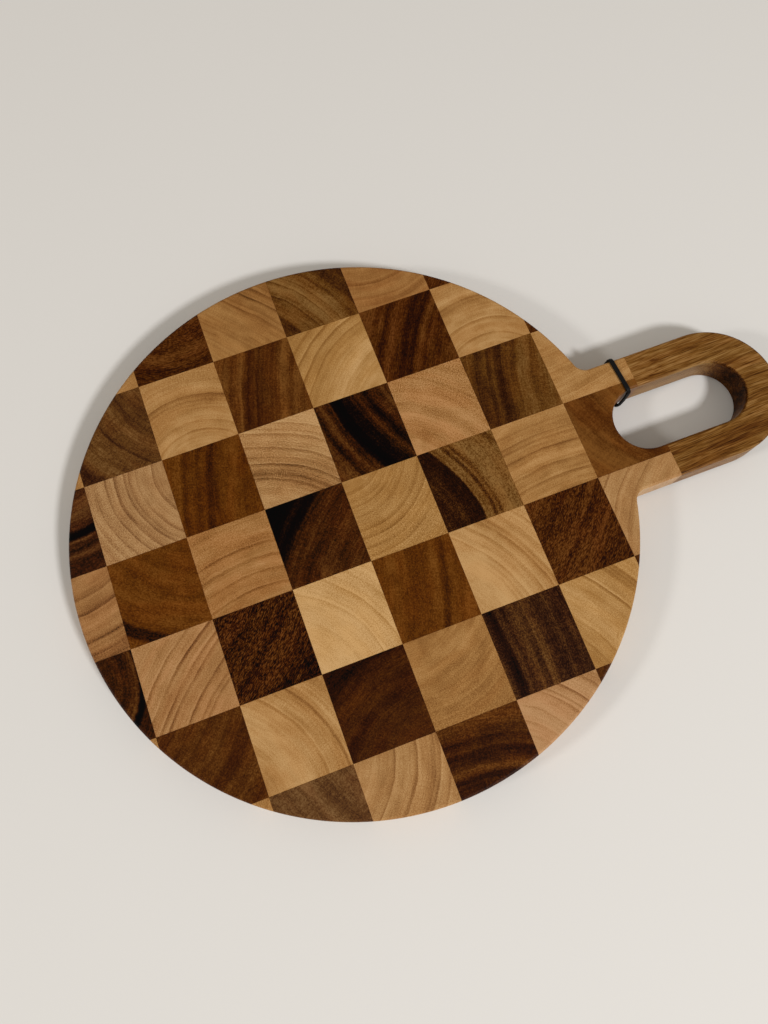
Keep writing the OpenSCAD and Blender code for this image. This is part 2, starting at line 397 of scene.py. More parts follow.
        lines=[(-21.5, 0.16), (-15, 0.19), (7, 0.42), (16, 0.19), (18, 0.16), (20, 0.21)],
        marks=[(-13.8, 16.2, 1.2, 1, 0, -0.5), (-4, -11.5, 8, 2, 60, -0.35)],
        gap=3, rough=1.1,
    ),
    "f8": Sawn(-45, 80, [(0, 0.4)], gap=5),
    "g2": Sawn(-30, 80, [(0, 0.5)], gap=6, rings=0.2),
    "g3": Sawn(
        28, 250, [(-17, 0.53), (-10, 0.44), (-5, 0.52), (-1.5, 0.64), (1.5, 0.53), (8, 0.52)],
        faded=0.07,
    ),
    "g4": Sawn(
        149, 57, [(-20, 0.61), (-11, 0.47), (-5, 0.55), (0, 0.51), (6.5, 0.55), (12, 0.4), (17, 0.57)],
        lines=[(-6.5, 0.33), (4, 0.47), (12.5, 0.28), (15, 0.33), (20.5, 0.24)],
        gap=3, faded=0.03,
    ),
    "g5": Sawn(
        258, 92,
        [(-14, 0.05), (-11.5, -0.1), (-7.5, 0.6), (-2.5, 0.05), (0, -0.15), (3.5, 0.33), (5.5, 0.1),
         (12.5, 0.5), (17, 0.53)],
        rough=1.3,
    ),
    "g6": Sawn(
        219, 64, [(-18, 0.86), (-9, 0.9), (0, 0.8), (8, 0.76), (13, 0.88), (19, 0.6)],
        lines=[(-12, 0.23), (-5, 0.2), (3.5, 0.39), (6, 0.26), (10.5, 0.49), (19.5, 0.33)],
        gap=3, rough=1.1, faded=0.05,
    ),
    "g7": Sawn(-45, 80, [(0, 0.4)], gap=5),
}
# The shades and the year lines reach this many mm inwards and outwards of a block's middle
SHADE_REACH = 32.0
# Across a year line, in mm outwards: the wood darkens, ends sharply and starts paler
YEAR_LINE = ((-1.8, 0.0), (-0.1, -1.0), (0.5, 0.35), (2.0, 0.0))
# A ramp holds no tone below zero, so tones are drawn with this much added
TONE_LIFT = 1.0
# The tone that is black, in every wood
BLACK_TONE = -0.5
# Noise stays mostly between these values
NOISE_RANGE = (0.3, 0.7)
# How far the rings wander: the size and the depth of the waves, and their swing, in mm
WANDERS = ((30.0, 200.0, 3.0), (4.0, 40.0, 0.7))
# Faint rings drift by this share of their gap, over this many gaps, and the weakest has this strength
RING_DRIFT = 0.8
DRIFT_GAPS = 1.9
WEAKEST_RING = 0.2
# A faint ring's sharp line and its soft shade: the power that each rises with, and how dark it ends
RING_LINE = (11.0, 0.7)
RING_SHADE = (3.0, 0.5)
# A pore is dark up to the first share of its cell and gone at the second
PORE_RANGE = (0.12, 0.34)
# Sizes along, across and down the rings: of a pore's cell in pore gaps, and of all the rest in mm
PORE_CELL = (1.0, 0.8, 16.0)
RAY_SIZES = (0.5, 6.0, 14.0)
STRIPE_SIZES = (70.0, 1.3, 200.0)
MOTTLE_SIZES = (12.0, 5.0, 60.0)
FADING_SIZES = (22.0, 5.0, 90.0)
BLUSH_SIZES = (25.0, 9.0, 90.0)
# Year lines are fainter and stronger by turns, between these shares of their darkness
FADING_RANGE = (0.5, 1.5)
# Patches where the noise is above this range have all of the wood's tint, and none below it
BLUSH_RANGE = (0.4, 0.65)
# Each block's grain starts this many mm further on than the last one's
SEED_STEP = (37.0, 53.0)
# Single marks wave by up to half of this, in waves of these sizes, and run this deep, all in mm. They
# are even up to this share of the way to their edge
MARK_SWING = 3.0
MARK_WAVES = (4.0, 4.0, 20.0)
MARK_DEPTH = 60.0
MARK_CORE = 0.3
# Glue lines are dark up to the first distance in mm and gone at the second, and this much deeper in tone
GLUE_LINE = (0.05, 0.3)
GLUE_DARKNESS = 0.2
# How much paler in tone the walls are, partly as paler side grain and partly as painted light: the floor's
# bounce and sheen. Also the shine of the faces and of the walls. Both change between these shares of facing
# up, from wall to face
SIDE_GRAIN_AND_SHEEN_LIFT = 0.3
FACE_SHINE = 0.06
WALL_SHINE = 0.45
LIFT_RANGE = (0.0, 0.7)
SHINE_RANGE = (0.0, 0.9)
# How rough the woods are from deep to bright, and the cord from noise to noise; each one's relief in mm
BLOCK_ROUGHNESS = (0.48, 0.4)
BLOCK_RELIEF = 0.02
HANDLE_ROUGHNESS = (0.5, 0.42)
HANDLE_RELIEF = 0.04
CORD_ROUGHNESS = (0.56, 0.7)
CORD_RELIEF = 0.06
CORD_SHINE = 0.18
BUMP_STRENGTH = 0.35
# A whole block, which gives the pitch of the glue lines
WHOLE_BLOCK = "dark_block_d4"

# The handle's long grain: its turn on the board in degrees; how it wanders, as the waves' sizes and
# their swing in mm; and its bands, streaks and fibres, as sizes in mm, detail and change of tone
HANDLE_TURN = 1.5
HANDLE_WAVES = (60.0, 25.0, 25.0)
HANDLE_SWING = (0.0, 5.0, 5.0)
HANDLE_GRAIN = (
    ((80.0, 4.0, 6.0), 3.0, 0.28),
    ((18.0, 0.8, 1.2), 2.0, 0.22),
    ((12.0, 0.36, 0.4), 1.0, 0.25),
)
HANDLE_TONE = 0.56
# Its pores: their sizes in mm, the noise between which they darken, and how much
HANDLE_PORES = (8.0, 0.3, 0.4)
HANDLE_PORE_RANGE = (0.5, 0.66)
HANDLE_PORE_DARKNESS = 0.4
# The near arm's outer side and the far one's, in mm, and how much each differs in tone
HANDLE_SIDES = (-39.0, 35.0)
HANDLE_SLOPE = (-0.11, 0.17)
# Its walls: how much deeper those facing along the handle are, partly as end grain and partly as painted
# shade, and how much paler those facing across are, partly as side grain and partly as painted sheen and
# bounce. Also the side grain's shine, and the shares of facing along the handle and across it between which
# they change
HANDLE_END_GRAIN_AND_SHADE_DARKNESS = 0.7
HANDLE_SIDE_GRAIN_AND_SHEEN_LIFT = 0.3
HANDLE_SIDE_SHINE = 0.22
HANDLE_END_RANGE = (0.1, 0.9)
HANDLE_SIDE_RANGE = (0.5, 1.0)
# The patches that have the tint, in mm, and the tint
HANDLE_BLUSH_SIZES = (50.0, 7.0, 7.0)
HANDLE_BLUSH = (1.02, 0.94, 0.90)

# Points round the cord's section, and steps along each run of the tie and round each bend
CORD_POINTS = 24
CORD_STEPS = 10
# The last step's share of its turn: it stops a hair short of the start, where the loop is closed
CLOSING_SHARE = 0.995
NEARLY_ZERO = 1e-6
CORD_PLACE = "cord_place"
# How high the braid stands where its tone changes, with the grooves darker as painted shade, and its top's
# tone; the fuzz's sizes in mm and tone
BRAID_GROOVE_SHADE_RANGE = (-0.6, 1.0)
BRAID_TONE = 0.7
FUZZ_SIZES = (0.25, 0.25, 0.25)
FUZZ_TONE = 0.3

FLOOR_ROUGHNESS = 0.7
FLOOR_SHINE = 0.2
# The light from all round, in a linear colour, and how strong it is
AMBIENT_COLOUR = (1.0, 0.93, 0.84, 1.0)
AMBIENT_STRENGTH = 0.4
# Each lamp's name, azimuth and elevation in degrees, share of the light on the floor, and linear colour
LAMPS = (
    ("main_light", -64, 42.7, 0.478, (0.97, 0.975, 1.0)),
    ("side_light", 181, 34, 0.14, (1.0, 0.985, 0.97)),
)
# The camera's place in metres, the ways to its right and to its top, its lens in mm, and how near in
# metres it can see
CAMERA_PLACE = (-0.02337, -0.10355, 0.41716)
CAMERA_RIGHT = Vector((0.936203, -0.351455, 0.00195))
CAMERA_UP = Vector((0.338698, 0.903674, 0.262025))
CAMERA_LENS = 27.59
NEAREST_SEEN = 0.01


def linear(shown):
    """A colour as a shader wants it, from the colour as it is seen."""
    return (*Color(shown).from_srgb_to_scene_linear(), 1.0)


class Recipe:
    """Makes and joins the nodes of one material or group."""

    def __init__(self, tree):
        self.tree = tree
        tree.nodes.clear()

    def add(self, kind, values=None, **settings):
        """A node with these values at its inputs and these settings."""
        node = self.tree.nodes.new(kind)
        for name, value in settings.items():
            setattr(node, name, value)
        for name, value in (values or {}).items():
            self.feed(node.inputs[name], value)
        return node

    def feed(self, socket, value):
        """Links the socket to another one, or sets it to a plain value."""
        if isinstance(value, bpy.types.NodeSocket):
            self.tree.links.new(value, socket)
        else:
            socket.default_value = value

    def math(self, operation, *values):
        node = self.add("ShaderNodeMath", dict(enumerate(values)), operation=operation)
        return node.outputs[0]

    def total(self, first, *others):
        for other in others:
            first = self.math("ADD", first, other)
        return first

    def vector(self, operation, *values):
        node = self.add("ShaderNodeVectorMath", dict(enumerate(values)), operation=operation)
        return node.outputs["Value" if operation == "LENGTH" else "Vector"]

    def parts(self, vector):
        return self.add("ShaderNodeSeparateXYZ", {0: vector}).outputs

    def placed(self, place, location=(0.0, 0.0, 0.0), turn=0.0, scale=(MM, MM, MM)):
        """The place as measured from another place, turned about Z and in other units."""
        values = {"Vector": place, "Location": location, "Rotation": (0.0, 0.0, turn), "Scale": scale}
        return self.add("ShaderNodeMapping", values, vector_type="TEXTURE").outputs[0]

    def noise(self, place, sizes, detail=2.0, output=0):
        """Soft noise with lumps of these sizes along, across and down."""
        place = self.vector("DIVIDE", place, sizes)
        values = {"Vector": place, "Scale": 1.0, "Detail": detail}
        return self.add("ShaderNodeTexNoise", values).outputs[output]

    def waves(self, place, sizes, swing, detail=2.0):
        """How far noise of these sizes moves a place, up to about half the swing each way."""
        wander = self.vector("SUBTRACT", self.noise(place, sizes, detail, output=1), (0.5, 0.5, 0.5))
        return self.vector("MULTIPLY", wander, swing)

    def signed(self, value, strength):
        """Noise as a change either way, up to the strength."""
        return self.math("MULTIPLY", self.spread(value, *NOISE_RANGE, -1.0, 1.0), strength)

    def spread(self, value, low, high, to_low=0.0, to_high=1.0, smooth=False):
        """The value laid out anew between two others."""
        values = {"Value": value, "From Min": low, "From Max": high, "To Min": to_low, "To Max": to_high}
        kind = "SMOOTHSTEP" if smooth else "LINEAR"
        return self.add("ShaderNodeMapRange", values, interpolation_type=kind).outputs[0]

    def mix(self, factor, one, other, blend="MIX"):
        node = self.add("ShaderNodeMix", data_type="RGBA", blend_type=blend)
        for index, value in ((0, factor), (6, one), (7, other)):
            self.feed(node.inputs[index], value)
        return node.outputs[2]

    def ramp(self, value, stops, smooth=True):
        """Stops are (place from 0 to 1, colour)."""
        node = self.add("ShaderNodeValToRGB", {"Fac": value})
        ramp = node.color_ramp
        ramp.interpolation = "EASE" if smooth else "LINEAR"
        while len(ramp.elements) < len(stops):
            ramp.elements.new(0.5)
        for element, (place, colour) in zip(ramp.elements, stops):
            element.position = place
        for element, (place, colour) in zip(ramp.elements, stops):
            element.color = colour
        return node.outputs[0]

    def shades(self, across, tones, smooth=True):
        """Tones across the rings, from (mm outwards, tone)."""
        if len(tones) == 1:
            return tones[0][1]
        places = [0.5 + offset / (2 * SHADE_REACH) for offset, shade in tones]
        lifted = [(TONE_LIFT + shade,) * 3 + (1.0,) for offset, shade in tones]
        across = self.spread(across, -SHADE_REACH, SHADE_REACH)
        return self.math("SUBTRACT", self.ramp(across, list(zip(places, lifted)), smooth), TONE_LIFT)

    def group(self, tree, values):
        return self.add("ShaderNodeGroup", values, node_tree=tree).outputs


def new_group(name, inputs, outputs):
    """A node group, its recipe, its input node and its output node. Sockets are (name, kind)."""
    tree = bpy.data.node_groups.new(name, "ShaderNodeTree")
    for direction, sockets in (("INPUT", inputs), ("OUTPUT", outputs)):
        for socket, kind in sockets:
            tree.interface.new_socket(name=socket, in_out=direction, socket_type="NodeSocket" + kind)
    recipe = Recipe(tree)
    given = recipe.add("NodeGroupInput").outputs
    made = recipe.add("NodeGroupOutput").inputs
    return tree, recipe, given, made


def ring_place_group():
    """Turns a place into mm along, across and down the growth rings."""
    tree, recipe, given, made = new_group(
        "Ring Place",
        [("Place", "Vector"), ("Away", "Float"), ("Seed", "Vector")],
        [("Ring Place", "Vector"), ("Across", "Float")],
    )
    seeded = recipe.vector("ADD", given["Place"], given["Seed"])
    place = given["Place"]
    for size, depth, swing in WANDERS:
        wander = recipe.waves(seeded, (size, size, depth), (swing, swing, 0.0), 1.0)
        place = recipe.vector("ADD", place, wander)
    x, y, z = recipe.parts(place)[:]
    flat = recipe.add("ShaderNodeCombineXYZ", {"X": x, "Y": y}).outputs[0]
    across = recipe.math("SUBTRACT", recipe.vector("LENGTH", flat), given["Away"])
    along = recipe.math("MULTIPLY", recipe.math("ARCTAN2", y, x), given["Away"])
    ring_place = recipe.add("ShaderNodeCombineXYZ", {"X": along, "Y": across, "Z": z}).outputs[0]
    recipe.feed(made["Ring Place"], recipe.vector("ADD", ring_place, given["Seed"]))
    recipe.feed(made["Across"], across)
    return tree


def end_grain_group():
    """Ring lines, pores, rays, stripes and mottling, as a change of tone and as a height."""
    tree, recipe, given, made = new_group(
        "End Grain",
        [
            ("Ring Place", "Vector"),
            ("Across", "Float"),
            ("Gap", "Float"),
            ("Rings", "Float"),
            ("Speckle", "Float"),
            ("Speckle Sizes", "Vector"),
            ("Pores", "Float"),
            ("Pore Gap", "Float"),
            ("Rays", "Float"),
            ("Stripes", "Float"),
            ("Mottle", "Float"),
        ],
        [("Change", "Float"), ("Height", "Float")],
    )
    place = given["Ring Place"]
    # Rings come at uneven distances, darken outwards and end in a sharp line, some more than others
    lane = recipe.math("DIVIDE", recipe.parts(place)[1], recipe.math("MULTIPLY", given["Gap"], DRIFT_GAPS))
    values = {"W": lane, "Scale": 1.0, "Detail": 1.0}
    uneven = recipe.add("ShaderNodeTexNoise", values, noise_dimensions="1D")
    uneven = recipe.spread(uneven.outputs[0], 0.25, 0.75, -RING_DRIFT, RING_DRIFT)
    turns = recipe.math("ADD", recipe.math("DIVIDE", given["Across"], given["Gap"]), uneven)
    phase = recipe.math("FRACT", turns)
    number = recipe.math("FLOOR", turns)
    strength = recipe.add("ShaderNodeTexWhiteNoise", {"W": number}, noise_dimensions="1D").outputs[0]
    strength = recipe.spread(strength, 0.0, 1.0, WEAKEST_RING, 1.0)
    line, shade = (
        recipe.math("MULTIPLY", recipe.math("POWER", phase, power), darkness)
        for power, darkness in (RING_LINE, RING_SHADE)
    )
    ring = recipe.math("MULTIPLY", recipe.math("ADD", line, shade), strength)
    ring = recipe.math("MULTIPLY", ring, given["Rings"])
    # Pores are dots in a loose net
    spots = recipe.vector("DIVIDE", place, PORE_CELL)
    scale = recipe.math("DIVIDE", 1.0, given["Pore Gap"])
    net = recipe.add("ShaderNodeTexVoronoi", {"Vector": spots, "Scale": scale}, feature="F1")
    pores = recipe.spread(net.outputs["Distance"], *PORE_RANGE, 1.0, 0.0, smooth=True)
    pore_dark = recipe.math("MULTIPLY", pores, given["Pores"])
    speckle = recipe.noise(place, given["Speckle Sizes"], 1.0)
    speckle = recipe.signed(speckle, given["Speckle"])
    rays = recipe.signed(recipe.noise(place, RAY_SIZES), given["Rays"])
    stripes = recipe.signed(recipe.noise(place, STRIPE_SIZES, 3.0), given["Stripes"])
    mottle = recipe.signed(recipe.noise(place, MOTTLE_SIZES), given["Mottle"])
    change = recipe.total(speckle, rays, stripes, mottle)
    change = recipe.math("SUBTRACT", change, recipe.math("ADD", ring, pore_dark))
    recipe.feed(made["Change"], change)
    recipe.feed(made["Height"], recipe.math("SUBTRACT", speckle, pores))
    return tree


def glue_line_group():
    """How near a place in mm is to a glue line between two blocks, from 0 to 1."""
    tree, recipe, given, made = new_group(
        "Glue Lines",
        [("Place", "Vector")],
        [("Glue", "Float")],
    )
    low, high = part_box(WHOLE_BLOCK)
    corner = (low.x / MM, low.y / MM, 0.0)
    pitch = ((high.x - low.x) / MM, (high.y - low.y) / MM, 1.0)
    cells = recipe.vector("DIVIDE", recipe.vector("SUBTRACT", given["Place"], corner), pitch)
    half = (0.5, 0.5, 0.5)
    off_middle = recipe.vector("ABSOLUTE", recipe.vector("SUBTRACT", recipe.vector("FRACTION", cells), half))
    near = recipe.vector("MULTIPLY", recipe.vector("SUBTRACT", half, off_middle), pitch)
    nearest = recipe.math("MINIMUM", *recipe.parts(near)[:2])
    recipe.feed(made["Glue"], recipe.spread(nearest, *GLUE_LINE, 1.0, 0.0, smooth=True))
    return tree


GROUP_MAKERS = {
    "Ring Place": ring_place_group,
    "End Grain": end_grain_group,
    "Glue Lines": glue_line_group,
}


def shared_group(name):
    """A node group that all blocks share, made at its first use."""
    return bpy.data.node_groups.get(name) or GROUP_MAKERS[name]()


def satin(recipe, colour, roughness, height, relief, specular):
    """Ends a material in a satin surface with a relief of that many mm."""
    values = {"Strength": BUMP_STRENGTH, "Distance": relief * MM, "Height": height}
    bump = recipe.add("ShaderNodeBump", values)
    values = {"Base Color": colour, "Roughness": roughness, "Specular IOR Level": specular}
    surface = recipe.add("ShaderNodeBsdfPrincipled", {**values, "Normal": bump.outputs[0]})
    recipe.add("ShaderNodeOutputMaterial", {"Surface": surface.outputs[0]})


def new_material(name):
    """A material with an empty node tree, and its recipe."""
    material = bpy.data.materials.new(name)
    material.use_nodes = True
    return material, Recipe(material.node_tree)


def wood_colour(recipe, wood, value, blush, blush_strength):
    """The wood's colour at a tone from 0, deep, to 1, bright."""
    settings = bpy.context.scene.board_woods
    deep, body, bright = (getattr(settings, f"{wood}_{grain}") for grain in GRAINS)
    halfway = (deep + body) / 2
    tones = ((BLACK_TONE, Color()), (0.0, deep), (0.25, halfway), (0.5, body), (1.0, bright))
    stops = [((place - BLACK_TONE) / (1.0 - BLACK_TONE), linear(shown)) for place, shown in tones]
    colour = recipe.ramp(recipe.spread(value, BLACK_TONE, 1.0), stops, smooth=False)
    return recipe.mix(blush_strength, colour, (*blush, 1.0), "MULTIPLY")


def year_line_at(offset):
    """How much a year line of full darkness changes the tone that far outwards of it."""
    for (near, one), (far, other) in zip(YEAR_LINE, YEAR_LINE[1:]):
        if near <= offset < far:
            return one + (other - one) * (offset - near) / (far - near)
    return 0.0


def year_line_stops(lines):
    """Stops across the rings, in mm outwards, that draw all the year lines of a block."""
    places = sorted(place + offset for place, dark in lines for offset, change in YEAR_LINE)
    return [
        (place, sum(dark * year_line_at(place - middle) for middle, dark in lines))
        for place in places
    ]


def block_material(node, wood_name, sawn):
    """End grain of one block."""
    wood = WOODS[wood_name]
    material, recipe = new_material("wood_of_" + node)
    low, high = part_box(node)
    middle = (low + high) / 2
    direction = math.radians(sawn.heart)
    heart = middle + sawn.away * MM * Vector((math.cos(direction), math.sin(direction), 0.0))
    heart.z = 0.0
    seen = recipe.add("ShaderNodeTexCoord").outputs
    place = recipe.placed(seen["Object"])
    turned = recipe.placed(seen["Object"], heart, direction + math.pi)
    number = list(SAWN).index(node[-2:])
    seed = (SEED_STEP[0] * number, SEED_STEP[1] * number, 0.0)
    ring = recipe.group(
        shared_group("Ring Place"),
        {"Place": turned, "Away": sawn.away, "Seed": seed},
    )
    grain = recipe.group(
        shared_group("End Grain"),
        {
            "Ring Place": ring["Ring Place"],
            "Across": ring["Across"],
            "Gap": sawn.gap,
            "Rings": sawn.rings,
            "Speckle": wood.speckle * sawn.rough,
            "Speckle Sizes": wood.speckle_sizes,
            "Pores": wood.pores * sawn.rough,
            "Pore Gap": wood.pore_gap,
            "Rays": wood.rays,
            "Stripes": wood.stripes,
            "Mottle": wood.mottle,
        },
    )
    value = recipe.math("ADD", recipe.shades(ring["Across"], sawn.shades), grain["Change"])
    if sawn.lines:
        lines = recipe.shades(ring["Across"], year_line_stops(sawn.lines), smooth=False)
        fading = recipe.noise(ring["Ring Place"], FADING_SIZES)
        fading = recipe.spread(fading, *NOISE_RANGE, *FADING_RANGE)
        value = recipe.math("ADD", value, recipe.math("MULTIPLY", lines, fading))
    if sawn.marks:
        wavy = recipe.waves(place, MARK_WAVES, (MARK_SWING, MARK_SWING, 0.0))
        wavy = recipe.vector("ADD", place, wavy)
    for x, y, long, wide, turn, change in sawn.marks:
        centre = (middle.x / MM + x, middle.y / MM + y, 0.0)
        spot = recipe.placed(wavy, centre, math.radians(turn), (long / 2, wide / 2, MARK_DEPTH / 2))
        far = recipe.vector("LENGTH", spot)
        value = recipe.math("ADD", value, recipe.spread(far, MARK_CORE, 1.0, change, 0.0, smooth=True))
    # Walls are painted paler: partly paler side grain, partly painted sheen and bounce from the floor
    up = recipe.math("ABSOLUTE", recipe.parts(seen["Normal"])[2])
    value = recipe.math("ADD", value, recipe.spread(up, *LIFT_RANGE, SIDE_GRAIN_AND_SHEEN_LIFT, 0.0))
    specular = recipe.spread(up, *SHINE_RANGE, WALL_SHINE, FACE_SHINE)
    glue = recipe.group(shared_group("Glue Lines"), {"Place": place})["Glue"]
    value = recipe.math("SUBTRACT", value, recipe.math("MULTIPLY", glue, GLUE_DARKNESS))
    blush = recipe.spread(recipe.noise(ring["Ring Place"], BLUSH_SIZES), *BLUSH_RANGE, smooth=True)
    colour = wood_colour(recipe, wood_name, value, wood.blush, blush)
    if sawn.faded:
        values = {"Saturation": 1.0 - sawn.faded, "Color": colour}
        colour = recipe.add("ShaderNodeHueSaturation", values).outputs[0]
    roughness = recipe.spread(value, 0.0, 1.0, *BLOCK_ROUGHNESS)
    satin(recipe, colour, roughness, grain["Height"], BLOCK_RELIEF, specular)
    return material


def dress(node, material):
    """Gives a CAD node one material."""
    mesh = frame["nodes"][node].data
    mesh.materials.clear()
    mesh.materials.append(material)


class BOARD_OT_blocks(bpy.types.Operator):
    """Give every end-grain block its own wood"""

    bl_idname = "board.blocks"
    bl_label = "End-Grain Blocks"

    def execute(self, context):
        blocks = {node: wood for node, wood in WOOD_OF.items() if wood in WOODS}
        unsawn = [node for node in blocks if node[-2:] not in SAWN]
        if unsawn:
            raise RuntimeError("The table of sawn blocks lacks " + ", ".join(unsawn))
        for node, wood in blocks.items():
            dress(node, block_material(node, wood, SAWN[node[-2:]]))
        return {"FINISHED"}


def handle_material():
    """Long grain, with end grain and painted shade on the walls that face along the handle, and painted sheen
    on those that face across.
    """
    material, recipe = new_material("wood_of_handle")
    seen = recipe.add("ShaderNodeTexCoord").outputs
    place = recipe.placed(seen["Object"], turn=math.radians(HANDLE_TURN))
    place = recipe.vector("ADD", place, recipe.waves(place, HANDLE_WAVES, HANDLE_SWING, 1.0))
    slope = recipe.spread(recipe.parts(place)[1], *HANDLE_SIDES, *HANDLE_SLOPE)
    value = recipe.math("ADD", slope, HANDLE_TONE)
    for sizes, detail, strength in HANDLE_GRAIN:
        value = recipe.math("ADD", value, recipe.signed(recipe.noise(place, sizes, detail), strength))
    pores = recipe.spread(recipe.noise(place, HANDLE_PORES, 1.0), *HANDLE_PORE_RANGE, smooth=True)
    value = recipe.math("SUBTRACT", value, recipe.math("MULTIPLY", pores, HANDLE_PORE_DARKNESS))
    # Walls that face along the handle are much deeper: end grain and painted shade. The walls that face
    # across the handle are paler, as side grain and painted sheen, and they shine
    along, across = (recipe.math("ABSOLUTE", part) for part in recipe.parts(seen["Normal"])[:2])
    end_grain_and_shade = recipe.spread(along, *HANDLE_END_RANGE, 0.0, HANDLE_END_GRAIN_AND_SHADE_DARKNESS, smooth=True)
    value = recipe.math("SUBTRACT", value, end_grain_and_shade)
    side_grain_and_sheen = recipe.spread(across, *HANDLE_SIDE_RANGE, 0.0, HANDLE_SIDE_GRAIN_AND_SHEEN_LIFT, smooth=True)
    value = recipe.math("ADD", value, side_grain_and_sheen)
    shine = (FACE_SHINE, HANDLE_SIDE_SHINE)
    specular = recipe.spread(across, *HANDLE_SIDE_RANGE, *shine, smooth=True)
    blush = recipe.spread(recipe.noise(place, HANDLE_BLUSH_SIZES), *BLUSH_RANGE, smooth=True)
    colour = wood_colour(recipe, "handle_wood", value, HANDLE_BLUSH, blush)
    roughness = recipe.spread(value, 0.0, 1.0, *HANDLE_ROUGHNESS)
    satin(recipe, colour, roughness, recipe.math("SUBTRACT", 0.0, pores), HANDLE_RELIEF, specular)
    return material


class BOARD_OT_handle(bpy.types.Operator):
    """Give the handle its long grain"""

    bl_idname = "board.handle"
    bl_label = "Handle"

    def execute(self, context):
        dress("handle", handle_material())
        return {"FINISHED"}


def add_object(name, data):
    """Puts a new object with this data in the scene."""
    made = bpy.data.objects.new(name, data)
    bpy.context.scene.collection.objects.link(made)
    return made


def mesh_of(name, made):
    """A mesh of what bmesh made, which is let go."""
    mesh = bpy.data.meshes.new(name)
    made.to_mesh(mesh)
    made.free()
    return mesh


def edges_among(made, verts):
    """The edges that join these vertices to each other."""
    among = set(verts)
    return [edge for edge in made.edges if edge.verts[0] in among and edge.verts[1] in among]


def cord_section(made, layer, settings, height):
    """The ring of points round the cord's flattened section, at that height in the outer run."""
    start = Matrix.Translation((settings.span, 0.0, height))
    bmesh.ops.create_circle(made, segments=CORD_POINTS, radius=settings.thickness / 2, matrix=start)
    flat = (settings.width - settings.thickness) / 2
    for side in (-1, 1):
        half = [vert for vert in made.verts if side * vert.co.y > NEARLY_ZERO]
        bmesh.ops.translate(made, verts=half, vec=(0.0, side * flat, 0.0))
    for vert in made.verts:
        vert[layer] = (vert.co.x - settings.span, vert.co.y, 0.0)
    return list(made.verts)


def next_ring(made, ring):
    """Draws the ring out into a copy of itself, which is still to be moved."""
    out = bmesh.ops.extrude_edge_only(made, edges=edges_among(made, ring))
    return [part for part in out["geom"] if isinstance(part, bmesh.types.BMVert)]


def wind_loop(made, settings):
    """The cord's closed loop: up the outer run, over, down the inner run and under."""
    layer = made.verts.layers.float_vector.new(CORD_PLACE)
    run_x = settings.span - settings.bend
    run_z = settings.reach - settings.bend
    first = cord_section(made, layer, settings, -run_z)
    ring = first
    along = 0.0
    # Each run, and the middle of the bend after it
    runs = (
        (Vector((0, 0, 2 * run_z)), Vector((run_x, 0, run_z))),
        (Vector((-2 * run_x, 0, 0)), Vector((-run_x, 0, run_z))),
        (Vector((0, 0, -2 * run_z)), Vector((-run_x, 0, -run_z))),
        (Vector((2 * run_x, 0, 0)), Vector((run_x, 0, -run_z))),
    )
    turn_step = math.pi / 2 / CORD_STEPS
    shares = [1.0] * (len(runs) * CORD_STEPS - 1) + [CLOSING_SHARE]
    for run, centre in runs:
        for step in range(CORD_STEPS):
            ring = next_ring(made, ring)
            bmesh.ops.translate(made, verts=ring, vec=run / CORD_STEPS)
            along += run.length / CORD_STEPS
            mark_along(ring, layer, along)
        for step in range(CORD_STEPS):
            ring = next_ring(made, ring)
            turn = Matrix.Rotation(-turn_step * shares.pop(0), 3, "Y")
            bmesh.ops.rotate(made, verts=ring, cent=centre, matrix=turn)
            along += turn_step * settings.bend
            mark_along(ring, layer, along)
    bmesh.ops.bridge_loops(made, edges=edges_among(made, ring) + edges_among(made, first))


def mark_along(ring, layer, along):
    """Notes on a ring's points how far along the cord they are."""
    for vert in ring:
        vert[layer] = (vert[layer].x, vert[layer].y, along)


def settle_loop(made, settings):
    """Lets the inner run follow the round wall of the hand hole, and the outer run's foot slip back."""
    run_x = settings.span - settings.bend
    for vert in made.verts:
        height = vert.co.z / settings.reach
        if vert.co.x < -run_x:
            vert.co.y -= settings.bow * (1.0 - min(1.0, height * height))
            vert.co.x += settings.hug * max(0.0, min(1.0, 0.5 + height / 2))
        elif vert.co.x > run_x:
            vert.co.y += settings.slack * max(0.0, 0.5 - height / 2)


def elastic_material(settings):
    """A fine braid, drawn from each point's place on the cord, with painted shade in the grooves between its
    strands.
    """
    material, recipe = new_material("elastic")
    cord = recipe.add("ShaderNodeAttribute", attribute_name=CORD_PLACE).outputs["Vector"]
    x, y, along = recipe.parts(cord)[:]
    around = recipe.math("MULTIPLY", recipe.math("ARCTAN2", y, x), float(settings.strands))
    travel = recipe.math("MULTIPLY", along, 2 * math.pi * settings.strands / settings.braid)
    one = recipe.math("SINE", recipe.math("ADD", travel, around))
    other = recipe.math("SINE", recipe.math("SUBTRACT", travel, around))
    braid = recipe.math("MAXIMUM", one, other)
    object_place = recipe.placed(recipe.add("ShaderNodeTexCoord").outputs["Object"])
    fuzz = recipe.noise(object_place, FUZZ_SIZES)
    # Painted shade: the cord is darker where the braid lies low between its strands
    shade = recipe.spread(braid, *BRAID_GROOVE_SHADE_RANGE, 0.0, BRAID_TONE)
    shade = recipe.math("ADD", shade, recipe.signed(fuzz, FUZZ_TONE))
    deep = linear([channel / 4 for channel in settings.elastic])
    colour = recipe.mix(shade, deep, linear(settings.elastic))
    roughness = recipe.spread(fuzz, *NOISE_RANGE, *CORD_ROUGHNESS)
    satin(recipe, colour, roughness, braid, CORD_RELIEF, CORD_SHINE)
    return material


